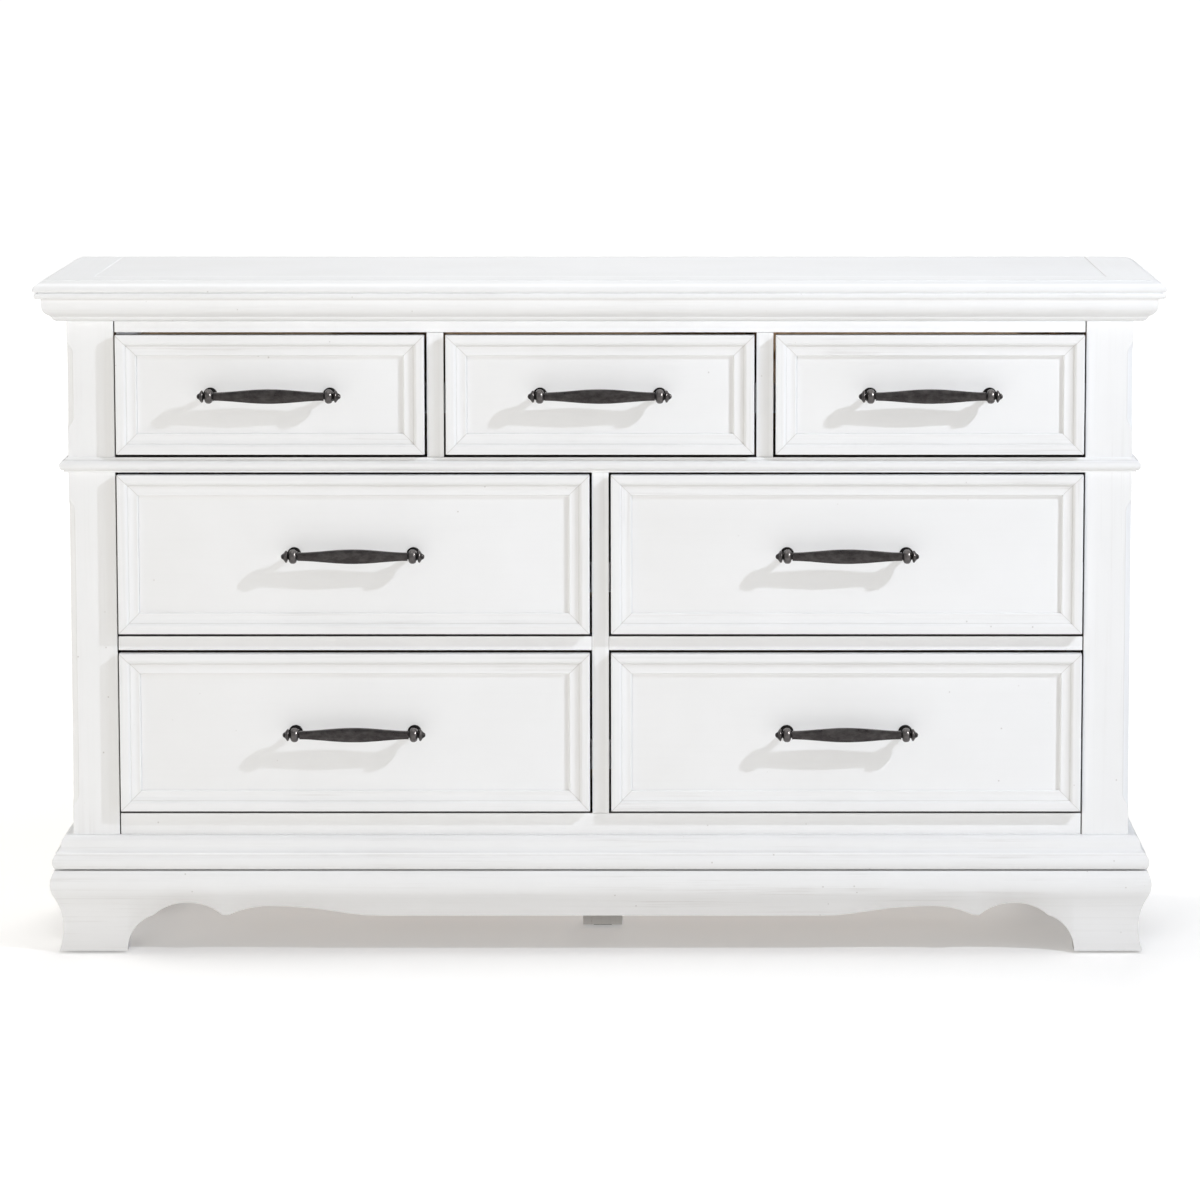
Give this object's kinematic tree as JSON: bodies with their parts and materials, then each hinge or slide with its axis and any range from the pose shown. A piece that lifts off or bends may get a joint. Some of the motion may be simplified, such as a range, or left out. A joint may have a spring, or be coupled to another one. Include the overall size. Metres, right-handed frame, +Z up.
{
  "type": "dresser",
  "caption": "White painted dresser with framed drawers, moulded top, waist and base, scalloped ogee bracket feet and dark bar pulls",
  "frame": {"origin": "centre of the footprint on the floor", "axes": "+X along the width to the viewer's right, +Y from the front to the back, +Z up; the drawers open along -Y"},
  "size_m": [1.676, 0.483, 1.016],
  "materials": {
    "white_paint": "white painted wood, brushed and lightly worn, satin",
    "plain_wood": "clear finished light wood, inside pieces",
    "dark_metal": "dark pewter patina, mottled, half dull",
    "slide_steel": "zinc coated folded steel",
    "glide_plastic": "dark matt plastic pads"
  },
  "bodies": {
    "case": {"top_panel": "white_paint", "top_front_board": "white_paint", "top_end_boards": "white_paint", "crown_moulding": "white_paint", "front_posts": "white_paint", "rear_posts": "white_paint", "side_rails": "white_paint", "side_panels": "white_paint", "top_rail": "white_paint", "waist_rail": "white_paint", "bottom_rail": "white_paint", "middle_rails": "white_paint", "dividers": "white_paint", "partitions": "plain_wood", "dust_panels": "plain_wood", "bottom_panel": "plain_wood", "back_panel": "plain_wood", "waist_moulding": "white_paint", "base_moulding": "white_paint", "bracket_base_front": "white_paint", "bracket_base_sides": "white_paint", "rear_feet": "white_paint", "support_blocks": "plain_wood", "floor_glides": "glide_plastic", "slide_channels": "slide_steel"},
    "drawer_top_left": {"drawer_top_left_front": "white_paint", "drawer_top_left_box": "plain_wood", "drawer_top_left_bottom": "plain_wood", "drawer_top_left_slides": "slide_steel", "drawer_top_left_pull": "dark_metal"},
    "drawer_top_middle": {"drawer_top_middle_front": "white_paint", "drawer_top_middle_box": "plain_wood", "drawer_top_middle_bottom": "plain_wood", "drawer_top_middle_slides": "slide_steel", "drawer_top_middle_pull": "dark_metal"},
    "drawer_top_right": {"drawer_top_right_front": "white_paint", "drawer_top_right_box": "plain_wood", "drawer_top_right_bottom": "plain_wood", "drawer_top_right_slides": "slide_steel", "drawer_top_right_pull": "dark_metal"},
    "drawer_middle_left": {"drawer_middle_left_front": "white_paint", "drawer_middle_left_box": "plain_wood", "drawer_middle_left_bottom": "plain_wood", "drawer_middle_left_slides": "slide_steel", "drawer_middle_left_pull": "dark_metal"},
    "drawer_middle_right": {"drawer_middle_right_front": "white_paint", "drawer_middle_right_box": "plain_wood", "drawer_middle_right_bottom": "plain_wood", "drawer_middle_right_slides": "slide_steel", "drawer_middle_right_pull": "dark_metal"},
    "drawer_bottom_left": {"drawer_bottom_left_front": "white_paint", "drawer_bottom_left_box": "plain_wood", "drawer_bottom_left_bottom": "plain_wood", "drawer_bottom_left_slides": "slide_steel", "drawer_bottom_left_pull": "dark_metal"},
    "drawer_bottom_right": {"drawer_bottom_right_front": "white_paint", "drawer_bottom_right_box": "plain_wood", "drawer_bottom_right_bottom": "plain_wood", "drawer_bottom_right_slides": "slide_steel", "drawer_bottom_right_pull": "dark_metal"}
  },
  "joints": [
    {"name": "top_left_slide", "type": "slide", "parent": "case", "child": "drawer_top_left", "axis": [0, -1, 0], "range_m": [0, 0.3]},
    {"name": "top_middle_slide", "type": "slide", "parent": "case", "child": "drawer_top_middle", "axis": [0, -1, 0], "range_m": [0, 0.3]},
    {"name": "top_right_slide", "type": "slide", "parent": "case", "child": "drawer_top_right", "axis": [0, -1, 0], "range_m": [0, 0.3]},
    {"name": "middle_left_slide", "type": "slide", "parent": "case", "child": "drawer_middle_left", "axis": [0, -1, 0], "range_m": [0, 0.3]},
    {"name": "middle_right_slide", "type": "slide", "parent": "case", "child": "drawer_middle_right", "axis": [0, -1, 0], "range_m": [0, 0.3]},
    {"name": "bottom_left_slide", "type": "slide", "parent": "case", "child": "drawer_bottom_left", "axis": [0, -1, 0], "range_m": [0, 0.3]},
    {"name": "bottom_right_slide", "type": "slide", "parent": "case", "child": "drawer_bottom_right", "axis": [0, -1, 0], "range_m": [0, 0.3]}
  ]
}
